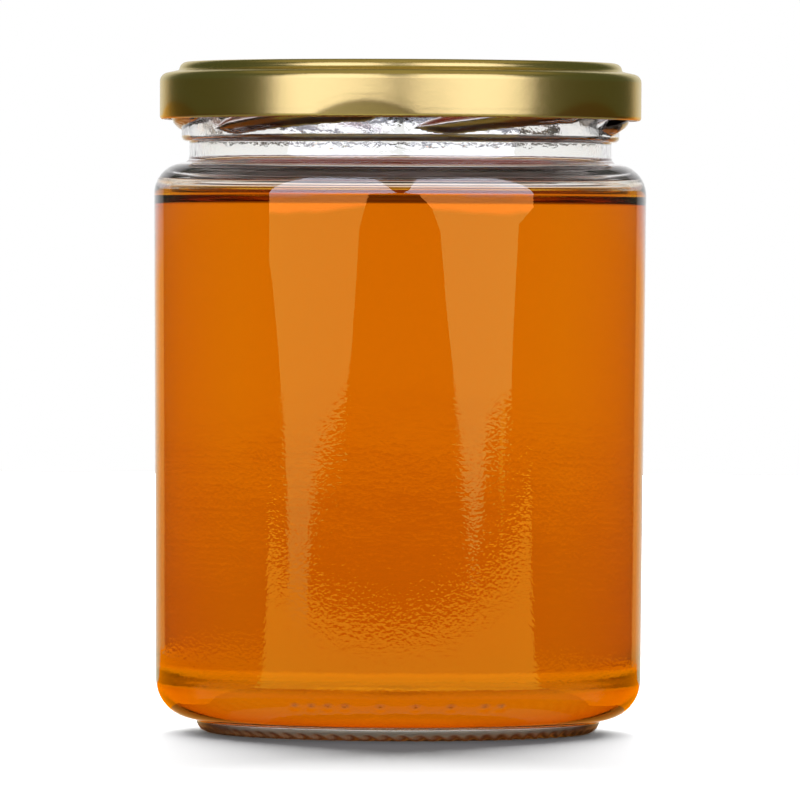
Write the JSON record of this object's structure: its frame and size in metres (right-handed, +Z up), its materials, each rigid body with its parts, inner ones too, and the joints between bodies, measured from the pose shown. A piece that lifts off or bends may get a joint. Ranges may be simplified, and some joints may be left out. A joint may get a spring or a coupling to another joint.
{
  "type": "jar of jam",
  "caption": "Shut round jar of clear glass, filled with clear amber jam, with a gold pressed-metal twist-off lid on a threaded neck.",
  "frame": {"origin": "centre of the jar's base ring, in the plane it stands on", "axes": "+Z up along the jar's axis; the front of the jar faces -Y, with +X to the right seen from the front"},
  "size_m": [0.0872, 0.0872, 0.1185],
  "materials": {
    "clear_glass": "smooth clear glass",
    "amber_jam": "clear amber jelly, wet and glossy",
    "gold_lacquer": "gold lacquer on tinplate, satin sheen"
  },
  "bodies": {
    "root": {"jar": "clear_glass", "jam": "amber_jam", "lid": "gold_lacquer"}
  },
  "joints": []
}
